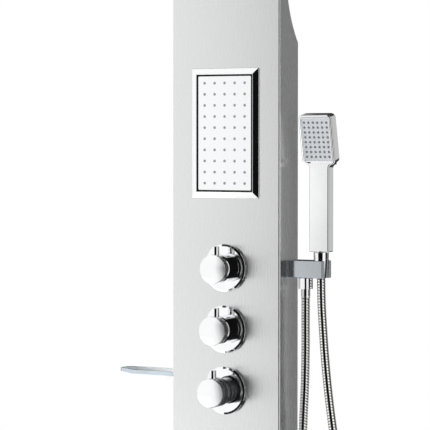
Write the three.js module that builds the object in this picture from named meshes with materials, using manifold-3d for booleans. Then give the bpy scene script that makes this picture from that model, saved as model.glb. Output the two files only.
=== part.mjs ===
// Rainfall shower column: a folded stainless panel that hangs on the wall, with a rain head that
// sweeps out over the user, a body spray, three controls, a hand shower on a hose and a glass shelf.
// Millimetres. X runs right, Y back to the wall, Z up. The origin is on the wall plane, at the
// middle of the upper wall bracket.
import * as THREE from 'three';
import { mergeVertices } from 'three/addons/utils/BufferGeometryUtils.js';
import Module from 'manifold-3d';

const wasm = await Module();
wasm.setup();

// ---- Clearances
const gap = 0.3; // between two pieces that rest on each other
const overcut = 1; // how far a cut runs past the surface it opens
const weld = 0.01; // overlap of two shapes that become one

// ---- Column and head
const columnWidth = 200;
const columnDepth = 65; // wall to front face
const columnDrop = 888; // origin down to the bottom end
const sheet = 1.5; // folded stainless sheet
const bendRadius = 3; // outside of the folds
const lipWidth = 15; // lips folded in along the wall
const neckRise = 150; // origin up to where the neck starts to sweep forward
const neckThickness = 22;
const sideCutRadius = 178; // hollow curve of the sides behind the neck
const headInnerRadius = 240; // front face swept into the head's underside
const headReach = 495; // wall to the head's front end
const coverSheet = 1.2; // cover behind the neck and over the head
const bottomCapHeight = 14;

// ---- Wall brackets
const bracketHeight = 40;
const bracketFromSide = 12; // column's side face to the bracket's end
const bracketStep = 2.1; // how far its ends stand off the wall, over the column's lips
const bracketSheet = 2;
const bracketLowerDrop = 770; // upper bracket to lower bracket
const bracketHoleRadius = 3.5;
const bracketHoleSpacing = 90;

// ---- Controls
const upperKnobDrop = 330; // origin down to the upper control
const knobPitch = 100;
const flangeRadius = 39;
const flangeThickness = 7;
const sleeveRadius = 20.75;
const sleeveLength = 18;
const capRadius = 23.5;
const capLengths = { upper: 20, middle: 23, lower: 29 };
const capDome = 1.5;
const pinRadius = 5.7;
const pinStand = 13; // pin above the cap
const pinSocketDepth = 5;
const pinFromCapBack = 7; // cap's back face to the pin's centre line
const pinFromCapBackLower = 17;
const spindleRadius = 4;
const spindleInCap = 11;
const spindleInCartridge = 12;
const cartridgeRadius = 14;
const cartridgeDepth = 26; // behind the front face
const cartridgeRise = 13; // in front of it
const cartridgeNutLength = 4;
const runningGap = 0.35; // around the turning spindles

// ---- Valve body and pipes
const valveWidth = 44;
const valveDepth = 33;
const valveBehindFront = 16; // inner face of the panel to the valve body
const valveEndMargin = 24; // valve body past the outer controls
const valveNeckRadius = 17.2;
const valveNeckRise = 11; // necks in front of the panel
const pipeRadius = 6;
const rainPipeX = 12;
const rainPipeBehindFront = 43; // front face to the pipe inside the column
const sprayPipeX = -11;
const pipeBendLow = 128; // neck's start down to the rain pipe's step forward
const pipeBendHigh = 25;
const pipeBendSteps = 6;
const pipeSweepSteps = 8;
const inletRadius = 10;
const inletLength = 32;

// ---- Body spray
const sprayAboveKnob = 219.5; // upper control to the middle of the spray
const bezelWidth = 124;
const bezelHeight = 211;
const bezelSlope = 10; // width of the sloping border
const bezelEdge = 1.2; // height of its outer edge
const bezelRise = 3.2; // how much higher its inner edge stands
const sprayPlateWidth = 96;
const sprayPlateHeight = 188;
const plateThickness = 2;
const sprayPlateBehind = 0.5; // plate's face behind the column's front face
const sprayChamberDepth = 25;
const sprayColumns = 5;
const sprayRows = 10;
const sprayPitchX = 18.6;
const sprayPitchZ = 18.1;
const nozzleRadius = 2.1;
const nozzleClearance = 0.25;
const nozzleRise = 1;
const nozzleSides = 5;
const matThickness = 1.5;

// ---- Rain head
const rainPlateSize = 166;
const rainChamberHeight = 12;
const rainFromFront = 12; // head's front end to the plate
const rainCount = 7;
const rainPitch = 22;

// ---- Hand shower outlet and holder
const armReach = 63; // side face to the fork's ends
const armHeight = 28;
const armDepth = 33;
const armBehindFront = 42.5; // front face of the column to the arm's middle
const armStudRadius = 10;
const armStudLength = 16; // inside the side wall
const waterBoreRadius = 5;
const lockNutAcross = 27;
const lockNutLength = 6;
const outletFromSide = 25; // side face to the outlet
const holderFromSide = 53; // side face to the hand shower's axis
const seatTopRadius = 12.4;
const seatBottomRadius = 9.9;
const seatFlats = 12; // the seat is cut with flats that touch its cone
const forkSlotWidth = 15.6;
const forkWall = 2.3; // end of the arm to the seat's mouth
const forkPegRadius = 5;
const forkPegLength = 5;
const nippleRadius = 9.2;
const nippleInArm = 4;
const nippleLength = 14;
const hoseNutAcross = 23;
const hoseNutLength = 18;
const hoseRadius = 7;
const ferruleRadius = 7.35;
const ferruleLength = 14;
const tailFlangeRadius = 9;
const tailFlange = 1.6;
const washerThickness = 1.6;

// ---- Hand shower
const nutAboveArm = 14; // cone nut above the arm's top
const nutGripRadius = 12.2;
const spigotLength = 12;
const handleWidth = 35;
const handleDepth = 18.5;
const handleLength = 141;
const handleCorner = 4;
const headWidth = 59;
const headLength = 81;
const headThickness = 17;
const headCorner = 5;
const headSetBack = 1; // handle's front face back to the head's
const headTilt = 12; // degrees, forward
const headRecess = 3;
const faceBorder = 5;
const faceFrameWidth = 2;
const faceCorner = 2;
const handNozzleColumns = 6;
const handNozzleRows = 8;
const handNozzlePitch = 8;
const handNozzleRadius = 1;

// ---- Glass shelf
const shelfBelowKnob = 176; // upper control down to the glass
const glassThickness = 6.5;
const shelfReach = 121;
const shelfFrontInset = 5; // front face to the glass's front edge
const shelfDepth = 54;
const shelfChamferX = 38;
const shelfChamferY = 26;
const shelfCorner = 12;
const supportFrontInset = 2;
const supportBackInset = 8;
const supportLength = 17;
const supportWidth = 12;
const supportJaw = 6.5;
const supportLip = 3;
const supportScrewRadius = 2;

// ---- Places worked out from the sizes
const frontY = -columnDepth;
const innerFrontY = frontY + sheet;
const sideX = columnWidth / 2;
const upperKnobZ = -upperKnobDrop;
const sprayZ = upperKnobZ + sprayAboveKnob;
const neckBackY = frontY + neckThickness;
const headOuterRadius = headInnerRadius + neckThickness;
const headRiseZ = neckRise + headInnerRadius; // underside of the head
const headTurnY = frontY - headInnerRadius;
const armY = frontY + armBehindFront;
const outletX = sideX + outletFromSide;
const holderX = sideX + holderFromSide;
const forkBackX = holderX - seatTopRadius - forkWall;
const armTopZ = upperKnobZ + armHeight / 2;
const armBottomZ = upperKnobZ - armHeight / 2;
const handleBottomZ = armTopZ + nutAboveArm + gap;
const valveFrontY = innerFrontY + valveBehindFront;
const valveBackY = valveFrontY + valveDepth;
const valveTopZ = upperKnobZ + valveEndMargin;
const valveBottomZ = upperKnobZ - 2 * knobPitch - valveEndMargin;
const tailTopZ = armTopZ - tailFlange;

// ---- Materials
function finish(color, roughness, metalness) {
  return new THREE.MeshStandardMaterial({ color, roughness, metalness });
}
const brushedSteel = finish(0xd8dadb, 0.35, 1);
const chrome = finish(0xe8eaec, 0.06, 1);
const satinPlate = finish(0xf2f3f4, 0.3, 0.6);
const brass = finish(0xb99a4f, 0.35, 1);
const copper = finish(0xb87a55, 0.35, 1);
const zincSteel = finish(0xa9adb0, 0.5, 1);
const greySilicone = finish(0x8c9092, 0.6, 0);
const whitePlastic = finish(0xe6e7e8, 0.4, 0);
const blackRubber = finish(0x202224, 0.8, 0);
const paleGlass = finish(0xcfe0e6, 0.05, 0);

// ---- Solids from geometries, and back
function toSolid(geometry) {
  const bare = geometry.clone();
  bare.deleteAttribute('normal');
  bare.deleteAttribute('uv');
  const merged = mergeVertices(bare, 1e-4);
  const vertProperties = new Float32Array(merged.attributes.position.array);
  const triVerts = new Uint32Array(merged.index.array);
  return new wasm.Manifold(new wasm.Mesh({ numProp: 3, vertProperties, triVerts }));
}

function toGeometry(solid) {
  const { vertProperties, triVerts } = solid.getMesh();
  const geometry = new THREE.BufferGeometry();
  geometry.setAttribute('position', new THREE.BufferAttribute(vertProperties, 3));
  geometry.setIndex(new THREE.BufferAttribute(triVerts, 1));
  return geometry;
}

function cut(solid, ...tools) {
  return tools.reduce((left, tool) => left.subtract(tool), solid);
}

// ---- Shapes
function block(x0, x1, y0, y1, z0, z1) {
  const geometry = new THREE.BoxGeometry(x1 - x0, y1 - y0, z1 - z0);
  geometry.translate((x0 + x1) / 2, (y0 + y1) / 2, (z0 + z1) / 2);
  return toSolid(geometry);
}

// A block whose front face, at y0, has other half sizes than its back face, at y1.
function taperedBlock(frontHalf, backHalf, y0, y1, z) {
  const geometry = new THREE.BoxGeometry(2, y1 - y0, 2);
  const place = geometry.attributes.position;
  for (let i = 0; i < place.count; i += 1) {
    const [halfX, halfZ] = place.getY(i) < 0 ? frontHalf : backHalf;
    place.setXYZ(i, place.getX(i) * halfX, place.getY(i) + (y0 + y1) / 2, place.getZ(i) * halfZ + z);
  }
  return toSolid(geometry);
}

function roundedRectangle(width, height, corner) {
  const x = width / 2;
  const y = height / 2;
  const shape = new THREE.Shape();
  shape.absarc(x - corner, y - corner, corner, 0, Math.PI / 2);
  shape.absarc(corner - x, y - corner, corner, Math.PI / 2, Math.PI);
  shape.absarc(corner - x, corner - y, corner, Math.PI, 1.5 * Math.PI);
  shape.absarc(x - corner, corner - y, corner, 1.5 * Math.PI, 2 * Math.PI);
  return shape;
}

function extrude(shape, depth, curveSegments = 4) {
  return new THREE.ExtrudeGeometry(shape, { depth, bevelEnabled: false, curveSegments });
}

// The shape's x and y become Y and Z.
function alongX(shape, x0, x1, curveSegments) {
  const geometry = extrude(shape, x1 - x0, curveSegments);
  const turn = new THREE.Matrix4().makeBasis(
    new THREE.Vector3(0, 1, 0),
    new THREE.Vector3(0, 0, 1),
    new THREE.Vector3(1, 0, 0),
  );
  return toSolid(geometry.applyMatrix4(turn).translate(x0, 0, 0));
}

function alongZ(shape, z0, z1, curveSegments) {
  return toSolid(extrude(shape, z1 - z0, curveSegments).translate(0, 0, z0));
}

// A profile of [radius, height] pairs turned about an axis; one that isn't on the axis closes on itself.
function turned(profile, sides) {
  const points = profile.map(([radius, height]) => new THREE.Vector2(radius, height));
  if (profile[0][0] > 0) points.push(points[0].clone());
  return new THREE.LatheGeometry(points, sides);
}

function turnedUp(profile, x, y, z, sides = 16) {
  return toSolid(turned(profile, sides).rotateX(Math.PI / 2).translate(x, y, z));
}

// Heights run out from the column's front face.
function turnedOut(profile, z, sides = 24) {
  return toSolid(turned(profile, sides).rotateX(Math.PI).translate(0, frontY, z));
}

function turnedRight(profile, x, y, z, sides = 16) {
  return toSolid(turned(profile, sides).rotateZ(-Math.PI / 2).translate(x, y, z));
}

function rod(radius, low, high) {
  return [[0, low], [radius, low], [radius, high], [0, high]];
}

function ring(inner, outer, low, high) {
  return [[inner, low], [outer, low], [outer, high], [inner, high]];
}

function hexagon(across) {
  const shape = new THREE.Shape();
  for (let i = 0; i < 6; i += 1) {
    const angle = (i + 0.5) * Math.PI / 3;
    const reach = across / Math.sqrt(3);
    const corner = [reach * Math.cos(angle), reach * Math.sin(angle)];
    if (i === 0) shape.moveTo(...corner);
    else shape.lineTo(...corner);
  }
  shape.closePath();
  return shape;
}

function tube(points, radius, sides, steps) {
  const path = new THREE.CatmullRomCurve3(points.map((p) => new THREE.Vector3(...p)));
  const section = new THREE.Shape();
  for (let i = 0; i < sides; i += 1) {
    const angle = 2 * Math.PI * i / sides;
    const corner = [radius * Math.cos(angle), radius * Math.sin(angle)];
    if (i === 0) section.moveTo(...corner);
    else section.lineTo(...corner);
  }
  section.closePath();
  return new THREE.ExtrudeGeometry(section, { extrudePath: path, steps, bevelEnabled: false });
}

// ---- Assembly
const group = new THREE.Group();

function add(name, material, shape) {
  const mesh = new THREE.Mesh(shape.isBufferGeometry ? shape : toGeometry(shape), material);
  mesh.name = name;
  group.add(mesh);
}

const knobs = [
  { name: 'upper', z: upperKnobZ, pinOut: pinFromCapBack },
  { name: 'middle', z: upperKnobZ - knobPitch, pinOut: pinFromCapBack },
  { name: 'lower', z: upperKnobZ - 2 * knobPitch, pinOut: pinFromCapBackLower },
];

// Everything behind the hollow curve of the column's sides.
function sideCut() {
  const centreY = neckBackY + sideCutRadius;
  const kink = Math.acos(centreY / sideCutRadius);
  const shape = new THREE.Shape();
  shape.absarc(centreY, neckRise, sideCutRadius, Math.PI + kink, Math.PI, true);
  shape.lineTo(neckBackY, neckRise + overcut);
  shape.lineTo(overcut, neckRise + overcut);
  shape.lineTo(overcut, neckRise - sideCutRadius * Math.sin(kink));
  shape.closePath();
  return alongX(shape, -sideX - overcut, sideX + overcut, 16);
}

function moved(shape, y) {
  const points = shape.getPoints(4).map((p) => new THREE.Vector2(p.x, p.y + y));
  return new THREE.Shape(points);
}

function columnShell() {
  const outline = roundedRectangle(columnWidth, columnDepth, bendRadius);
  const hollow = roundedRectangle(columnWidth - 2 * sheet, columnDepth - 2 * sheet, bendRadius - sheet);
  const middleY = frontY / 2;
  const slotX = sideX - lipWidth;
  const sprayHalfX = bezelWidth / 2 - bezelSlope;
  const sprayHalfZ = bezelHeight / 2 - bezelSlope;
  const necks = knobs.map(({ z }) => turnedOut(rod(valveNeckRadius + gap, -sheet - overcut, overcut), z));
  return cut(
    alongZ(moved(outline, middleY), -columnDrop, neckRise - gap),
    alongZ(moved(hollow, middleY), -columnDrop - overcut, neckRise + overcut),
    block(-slotX, slotX, -sheet - overcut, overcut, -columnDrop - overcut, neckRise + overcut),
    sideCut(),
    block(-sprayHalfX, sprayHalfX, frontY - overcut, innerFrontY + overcut,
      sprayZ - sprayHalfZ, sprayZ + sprayHalfZ),
    turnedRight(rod(armStudRadius + gap, -sheet - overcut, overcut), sideX, armY, upperKnobZ),
    ...necks,
  );
}

// The head seen from the side, from its underside's radius to its top's, as far as endY.
function headOutline(inner, outer, endY, foot = 0) {
  const shape = new THREE.Shape();
  if (foot > 0) shape.moveTo(headTurnY + inner, neckRise - foot);
  shape.absarc(headTurnY, neckRise, inner, 0, Math.PI / 2);
  shape.lineTo(endY, neckRise + inner);
  shape.lineTo(endY, neckRise + outer);
  shape.absarc(headTurnY, neckRise, outer, Math.PI / 2, 0, true);
  if (foot > 0) shape.lineTo(headTurnY + outer, neckRise - foot);
  shape.closePath();
  return shape;
}

function headShell() {
  const plateY = -headReach + rainFromFront;
  const half = rainPlateSize / 2 + gap;
  const skin = headOutline(headInnerRadius, headOuterRadius, -headReach);
  const hollow = headOutline(headInnerRadius + sheet, headOuterRadius + overcut, -headReach + sheet, overcut);
  return cut(
    alongX(skin, -sideX, sideX, 12),
    alongX(hollow, -sideX + sheet, sideX - sheet, 12),
    block(-half, half, plateY - gap, plateY + rainPlateSize + gap,
      headRiseZ - overcut, headRiseZ + 2 * sheet),
  );
}

function headCover() {
  const end = sheet + gap;
  const shape = headOutline(headOuterRadius - coverSheet, headOuterRadius, -headReach + end);
  return alongX(shape, -sideX + end, sideX - end, 12);
}

function neckCover() {
  const centreY = neckBackY + sideCutRadius;
  const low = Math.PI + Math.acos((centreY + bendRadius + gap) / sideCutRadius);
  const high = Math.PI + gap / sideCutRadius;
  const shape = new THREE.Shape();
  shape.absarc(centreY, neckRise, sideCutRadius, low, high, true);
  shape.absarc(centreY, neckRise, sideCutRadius + coverSheet, high, low);
  shape.closePath();
  const wide = sideX - sheet - gap;
  return alongX(shape, -wide, wide, 12);
}

function bottomCap() {
  const outer = sheet + gap;
  const inner = outer + sheet;
  const corner = bendRadius - sheet;
  const outline = roundedRectangle(columnWidth - 2 * outer, columnDepth - 2 * outer, corner);
  const hollow = roundedRectangle(columnWidth - 2 * inner, columnDepth - 2 * inner, corner / 2);
  const low = -columnDrop;
  return cut(
    alongZ(moved(outline, frontY / 2), low, low + bottomCapHeight),
    alongZ(moved(hollow, frontY / 2), low + sheet, low + bottomCapHeight + overcut),
  );
}

function wallBracket(z) {
  const end = sideX - bracketFromSide;
  const flat = sideX - lipWidth - gap;
  const low = z - bracketHeight / 2;
  const high = z + bracketHeight / 2;
  const foot = -bracketStep - bracketSheet;
  const body = block(-flat, flat, -bracketSheet, 0, low, high)
    .add(block(-end, -flat + 2 * bracketSheet, foot, -bracketStep + gap, low, high))
    .add(block(flat - 2 * bracketSheet, end, foot, -bracketStep + gap, low, high));
  const hole = turnedOut(rod(bracketHoleRadius, -2 * columnDepth, 0), z, 16);
  const holes = [-1, 1].map((side) => hole.translate([side * bracketHoleSpacing / 2, 0, 0]));
  return cut(body, ...holes);
}

function nozzles(columns, rows, pitchX, pitchZ) {
  const places = [];
  for (let column = 0; column < columns; column += 1) {
    for (let row = 0; row < rows; row += 1) {
      places.push([(column - (columns - 1) / 2) * pitchX, (row - (rows - 1) / 2) * pitchZ]);
    }
  }
  return places;
}

function sprayParts() {
  const plateFrontY = frontY + sprayPlateBehind;
  const plateBackY = plateFrontY + plateThickness;
  const matBackY = plateBackY + gap + matThickness;
  const halfX = sprayPlateWidth / 2;
  const halfZ = sprayPlateHeight / 2;
  const openX = bezelWidth / 2 - bezelSlope;
  const openZ = bezelHeight / 2 - bezelSlope;
  const places = nozzles(sprayColumns, sprayRows, sprayPitchX, sprayPitchZ);
  const tipOut = -sprayPlateBehind + nozzleRise;

  const border = taperedBlock(
    [openX, openZ],
    [bezelWidth / 2, bezelHeight / 2],
    frontY - gap - bezelEdge - bezelRise,
    frontY - gap - bezelEdge,
    sprayZ,
  ).add(block(-bezelWidth / 2, bezelWidth / 2, frontY - gap - bezelEdge - weld, frontY - gap,
    sprayZ - bezelHeight / 2, sprayZ + bezelHeight / 2));
  const opening = block(-openX + sheet, openX - sheet, frontY - columnDepth, 0,
    sprayZ - openZ + sheet, sprayZ + openZ - sheet);
  add('spray_bezel', chrome, cut(border, opening));

  const holes = places.map(([x, z]) => turnedOut(
    rod(nozzleRadius + nozzleClearance, -plateThickness - 2 * overcut, overcut), sprayZ + z, nozzleSides,
  ).translate([x, 0, 0]));
  add('spray_plate', satinPlate, cut(
    block(-halfX, halfX, plateFrontY, plateBackY, sprayZ - halfZ, sprayZ + halfZ),
    ...holes,
  ));

  const base = -sprayPlateBehind - plateThickness - gap;
  const tips = places.map(([x, z]) => turnedOut(
    rod(nozzleRadius, base - matThickness / 2, tipOut), sprayZ + z, nozzleSides,
  ).translate([x, 0, 0]));
  const mat = block(-halfX, halfX, plateBackY + gap, matBackY, sprayZ - halfZ, sprayZ + halfZ);
  add('spray_nozzle_mat', greySilicone, tips.reduce((joined, tip) => joined.add(tip), mat));

  const wallX = openX - gap;
  const wallZ = openZ - gap;
  const chamberBackY = frontY + sprayPlateBehind + sprayChamberDepth;
  const chamber = block(-wallX, wallX, frontY, chamberBackY, sprayZ - wallZ, sprayZ + wallZ);
  add('spray_chamber', whitePlastic, cut(
    chamber,
    block(-halfX - gap, halfX + gap, frontY - overcut, matBackY + gap,
      sprayZ - halfZ - gap, sprayZ + halfZ + gap),
    block(-halfX + sheet, halfX - sheet, matBackY, chamberBackY - 2 * sheet,
      sprayZ - halfZ + sheet, sprayZ + halfZ - sheet),
  ));
}

function rainParts() {
  const half = rainPlateSize / 2;
  const low = -headReach + rainFromFront;
  const high = low + rainPlateSize;
  const middle = (low + high) / 2;
  const places = nozzles(rainCount, rainCount, rainPitch, rainPitch);
  const plateTop = headRiseZ + sheet;
  const matLow = plateTop + gap;
  const matTop = matLow + matThickness;
  const holeRadius = nozzleRadius + nozzleClearance;
  const holes = places.map(([x, y]) => turnedUp(
    rod(holeRadius, -overcut, sheet + overcut), x, middle + y, headRiseZ, nozzleSides,
  ));
  add('rain_plate', chrome, cut(block(-half, half, low, high, headRiseZ, plateTop), ...holes));

  const tips = places.map(([x, y]) => turnedUp(
    rod(nozzleRadius, -nozzleRise, sheet + gap + matThickness / 2), x, middle + y, headRiseZ, nozzleSides,
  ));
  const mat = block(-half, half, low, high, matLow, matTop);
  add('rain_nozzle_mat', greySilicone, tips.reduce((joined, tip) => joined.add(tip), mat));

  const chamberLow = matTop + gap;
  const wall = 2 * sheet;
  add('rain_chamber', whitePlastic, cut(
    block(-half, half, low, high, chamberLow, chamberLow + rainChamberHeight),
    block(-half + wall, half - wall, low + wall, high - wall, chamberLow - overcut,
      chamberLow + rainChamberHeight - wall),
  ));
}

function valveBody() {
  let body = block(-valveWidth / 2, valveWidth / 2, valveFrontY, valveBackY, valveBottomZ, valveTopZ);
  const neckBase = frontY - valveFrontY - 2 * overcut;
  knobs.forEach(({ z }) => {
    body = body.add(turnedOut(rod(valveNeckRadius, neckBase, valveNeckRise), z));
  });
  knobs.forEach(({ z }) => {
    const bore = rod(cartridgeRadius + gap, -cartridgeDepth - gap, valveNeckRise + overcut);
    body = cut(body, turnedOut(bore, z));
  });
  return body;
}

function controlParts({ name, z, pinOut }) {
  const sleeveOut = flangeThickness + gap;
  const sleeveEnd = sleeveOut + sleeveLength;
  const bore = valveNeckRadius + gap;
  add(`${name}_flange`, chrome, turnedOut([
    [bore, gap],
    [flangeRadius, gap],
    [flangeRadius, flangeThickness - 1],
    [flangeRadius - 1, flangeThickness],
    [bore, flangeThickness],
  ], z));
  add(`${name}_sleeve`, chrome, turnedOut(ring(bore, sleeveRadius, sleeveOut, sleeveEnd), z));

  const socket = spindleRadius + runningGap;
  add(`${name}_cartridge`, whitePlastic, cut(
    turnedOut(rod(cartridgeRadius, -cartridgeDepth, cartridgeRise), z, 16),
    turnedOut(rod(socket, cartridgeRise - spindleInCartridge - gap, cartridgeRise + overcut), z, 16),
  ));
  const nutLow = cartridgeRise + gap;
  add(`${name}_cartridge_nut`, brass, turnedOut(
    ring(socket, valveNeckRadius, nutLow, nutLow + cartridgeNutLength), z, 16,
  ));

  const capBack = sleeveEnd + gap;
  const capFront = capBack + capLengths[name];
  const spindleEnd = capBack + spindleInCap;
  add(`${name}_spindle`, brass, turnedOut(
    rod(spindleRadius, cartridgeRise - spindleInCartridge, spindleEnd), z, 16,
  ));
  const pinAt = capBack + pinOut;
  const pinFoot = capRadius - pinSocketDepth;
  const pinPlace = [0, frontY - pinAt, z];
  add(`${name}_cap`, chrome, cut(
    turnedOut([
      [0, capBack],
      [capRadius, capBack],
      [capRadius, capFront - capDome],
      [capRadius - capDome, capFront - capDome / 3],
      [0, capFront],
    ], z),
    turnedOut(rod(spindleRadius + gap, capBack - overcut, spindleEnd + gap), z, 16),
    turnedUp(rod(pinRadius + gap, pinFoot - gap, capRadius + pinStand), ...pinPlace, 20),
  ));
  add(`${name}_pin`, chrome, turnedUp([
    [0, pinFoot],
    [pinRadius, pinFoot],
    [pinRadius, capRadius + pinStand - 1],
    [pinRadius - 1, capRadius + pinStand],
    [0, capRadius + pinStand],
  ], ...pinPlace, 20));
}

function pipes() {
  const pipeInColumnY = frontY + rainPipeBehindFront;
  const pipeInNeckY = (innerFrontY + neckBackY - coverSheet) / 2;
  const sweep = headTurnY - pipeInNeckY;
  const chamberBackY = -headReach + rainFromFront + rainPlateSize;
  const bendLow = neckRise - pipeBendLow;
  const bendHigh = neckRise - pipeBendHigh;
  const shift = pipeInNeckY - pipeInColumnY;
  const points = [[rainPipeX, pipeInColumnY, valveTopZ + gap]];
  points.push([rainPipeX, pipeInColumnY, (valveTopZ + bendLow) / 2]);
  for (let i = 0; i <= pipeBendSteps; i += 1) {
    const t = i / pipeBendSteps;
    const share = t * t * (3 - 2 * t);
    points.push([rainPipeX, pipeInColumnY + share * shift, bendLow + t * (bendHigh - bendLow)]);
  }
  for (let i = 0; i <= pipeSweepSteps; i += 1) {
    const angle = (i / pipeSweepSteps) * (Math.PI / 2);
    points.push([rainPipeX, headTurnY - sweep * Math.cos(angle), neckRise - sweep * Math.sin(angle)]);
  }
  points.push([rainPipeX, chamberBackY + gap, neckRise - sweep]);
  add('rain_feed_pipe', copper, tube(points, pipeRadius, 8, 36));

  const sprayLow = sprayZ - bezelHeight / 2 + bezelSlope + gap;
  const sprayY = frontY + sprayPlateBehind + sprayChamberDepth - pipeRadius - sheet;
  add('spray_feed_pipe', copper, turnedUp(
    rod(pipeRadius, valveTopZ + gap, sprayLow - gap), sprayPipeX, sprayY, 0, 12,
  ));

  const armEnd = sideX - sheet - armStudLength - gap;
  add('handset_feed_pipe', copper, turnedRight(
    rod(pipeRadius, valveWidth / 2 + gap, armEnd), 0, armY, upperKnobZ, 12,
  ));
  const inletZ = upperKnobZ - 2 * knobPitch;
  const inletY = (valveFrontY + valveBackY) / 2;
  const near = valveWidth / 2 + gap;
  add('cold_inlet', brass, turnedRight(
    ring(pipeRadius, inletRadius, near, near + inletLength), 0, inletY, inletZ,
  ));
  add('hot_inlet', brass, turnedRight(
    ring(pipeRadius, inletRadius, -near - inletLength, -near), 0, inletY, inletZ,
  ));
}

function armBlock(x0, x1) {
  return block(x0, x1, armY - armDepth / 2, armY + armDepth / 2, armBottomZ, armTopZ);
}

function holderArm() {
  const stud = rod(armStudRadius, -sheet - armStudLength, overcut);
  const waterway = rod(waterBoreRadius, -sheet - armStudLength - overcut, outletFromSide);
  const drop = rod(waterBoreRadius, armBottomZ - overcut, upperKnobZ);
  const nippleSocket = rod(nippleRadius + gap, armBottomZ - overcut, armBottomZ + nippleInArm);
  const pegSocket = rod(forkPegRadius + gap, -forkPegLength - gap, overcut);
  return cut(
    armBlock(sideX + gap, forkBackX - gap).add(turnedRight(stud, sideX, armY, upperKnobZ)),
    turnedRight(waterway, sideX, armY, upperKnobZ),
    turnedUp(drop, outletX, armY, 0),
    turnedUp(nippleSocket, outletX, armY, 0),
    turnedRight(pegSocket, forkBackX, armY, upperKnobZ),
  );
}

// The arm's end piece: a cone seat for the hand shower, open to the right so that the hose passes.
function holderFork() {
  const far = sideX + armReach;
  const toCorners = 1 / Math.cos(Math.PI / seatFlats);
  const low = seatBottomRadius * toCorners;
  const high = seatTopRadius * toCorners;
  const seat = [
    [0, armBottomZ - overcut],
    [low, armBottomZ - overcut],
    [low, armBottomZ],
    [high, armTopZ],
    [high, armTopZ + overcut],
    [0, armTopZ + overcut],
  ];
  const slotHalf = forkSlotWidth / 2;
  return cut(
    armBlock(forkBackX, far)
      .add(turnedRight(rod(forkPegRadius, -forkPegLength, overcut), forkBackX, armY, upperKnobZ)),
    turnedUp(seat, 0, 0, 0, seatFlats).rotate([0, 0, 180 / seatFlats]).translate([holderX, armY, 0]),
    block(holderX, far + overcut, armY - slotHalf, armY + slotHalf, armBottomZ - overcut, armTopZ + overcut),
  );
}

function nut(across, bore, z0, z1) {
  return cut(alongZ(hexagon(across), z0, z1), turnedUp(rod(bore, z0 - overcut, z1 + overcut), 0, 0, 0));
}

const nutTopZ = armBottomZ - 2 * gap;
const nippleEndZ = armBottomZ + nippleInArm - gap - nippleLength;
const lowerTailZ = nippleEndZ - 2 * gap - washerThickness;
const hoseStartZ = nutTopZ - hoseNutLength - ferruleLength - gap;
const hoseEndZ = armBottomZ - gap;

function outletParts() {
  add('holder_arm', chrome, holderArm());
  add('holder_fork', chrome, holderFork());
  const nutX = sideX - sheet - gap - lockNutLength;
  const locked = cut(
    alongX(hexagon(lockNutAcross), 0, lockNutLength),
    turnedRight(rod(armStudRadius + gap, -overcut, lockNutLength + overcut), 0, 0, 0),
  );
  add('arm_lock_nut', brass, locked.translate([nutX, armY, upperKnobZ]));
  add('outlet_nipple', chrome, turnedUp(
    ring(waterBoreRadius, nippleRadius, nippleEndZ, nippleEndZ + nippleLength), outletX, armY, 0,
  ));
  add('hose_washer', blackRubber, turnedUp(
    ring(waterBoreRadius, tailFlangeRadius, nippleEndZ - gap - washerThickness, nippleEndZ - gap),
    outletX, armY, 0,
  ));
  const shoulderZ = lowerTailZ - tailFlange - gap;
  const hexNut = nut(hoseNutAcross, ferruleRadius + gap, nutTopZ - hoseNutLength, nutTopZ);
  const pocket = turnedUp(rod(nippleRadius + gap, shoulderZ, nutTopZ + overcut), 0, 0, 0);
  add('hose_nut', chrome, cut(hexNut, pocket).translate([outletX, armY, 0]));
  add('hose_ferrule', chrome, turnedUp([
    [waterBoreRadius, lowerTailZ],
    [waterBoreRadius, hoseStartZ + gap],
    [ferruleRadius, hoseStartZ + gap],
    [ferruleRadius, lowerTailZ - tailFlange],
    [tailFlangeRadius, lowerTailZ - tailFlange],
    [tailFlangeRadius, lowerTailZ],
  ], outletX, armY, 0));
  add('handset_hose_tail', chrome, turnedUp([
    [waterBoreRadius, tailTopZ + tailFlange],
    [waterBoreRadius, armBottomZ],
    [ferruleRadius, armBottomZ],
    [ferruleRadius, tailTopZ],
    [tailFlangeRadius, tailTopZ],
    [tailFlangeRadius, tailTopZ + tailFlange],
  ], holderX, armY, 0));
}

// The hose hangs from the outlet in one long loop and rises to the hand shower: [x, z] of its middle,
// as distances from the outlet's axis and from the upper control.
const hoseLoop = [
  [0, -90],
  [0, -135],
  [-1, -185],
  [-3.5, -240],
  [-6, -300],
  [-8.5, -365],
  [-10.5, -435],
  [-12, -505],
  [-13.3, -575],
  [-14, -635],
  [-12, -678],
  [-3, -710],
  [16, -734],
  [42, -745],
  [70, -741],
  [93, -724],
  [107, -696],
  [111, -660],
  [110, -615],
  [105, -560],
  [96, -498],
  [84, -433],
  [70, -365],
  [57, -300],
  [47, -240],
  [40, -188],
  [35, -140],
  [31.5, -95],
  [29, -55],
];

function hosePath() {
  const start = [outletX, armY, hoseStartZ];
  const end = [holderX, armY, hoseEndZ];
  const loop = hoseLoop.map(([x, z]) => [outletX + x, armY, upperKnobZ + z]);
  return [start, ...loop, end];
}

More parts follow.
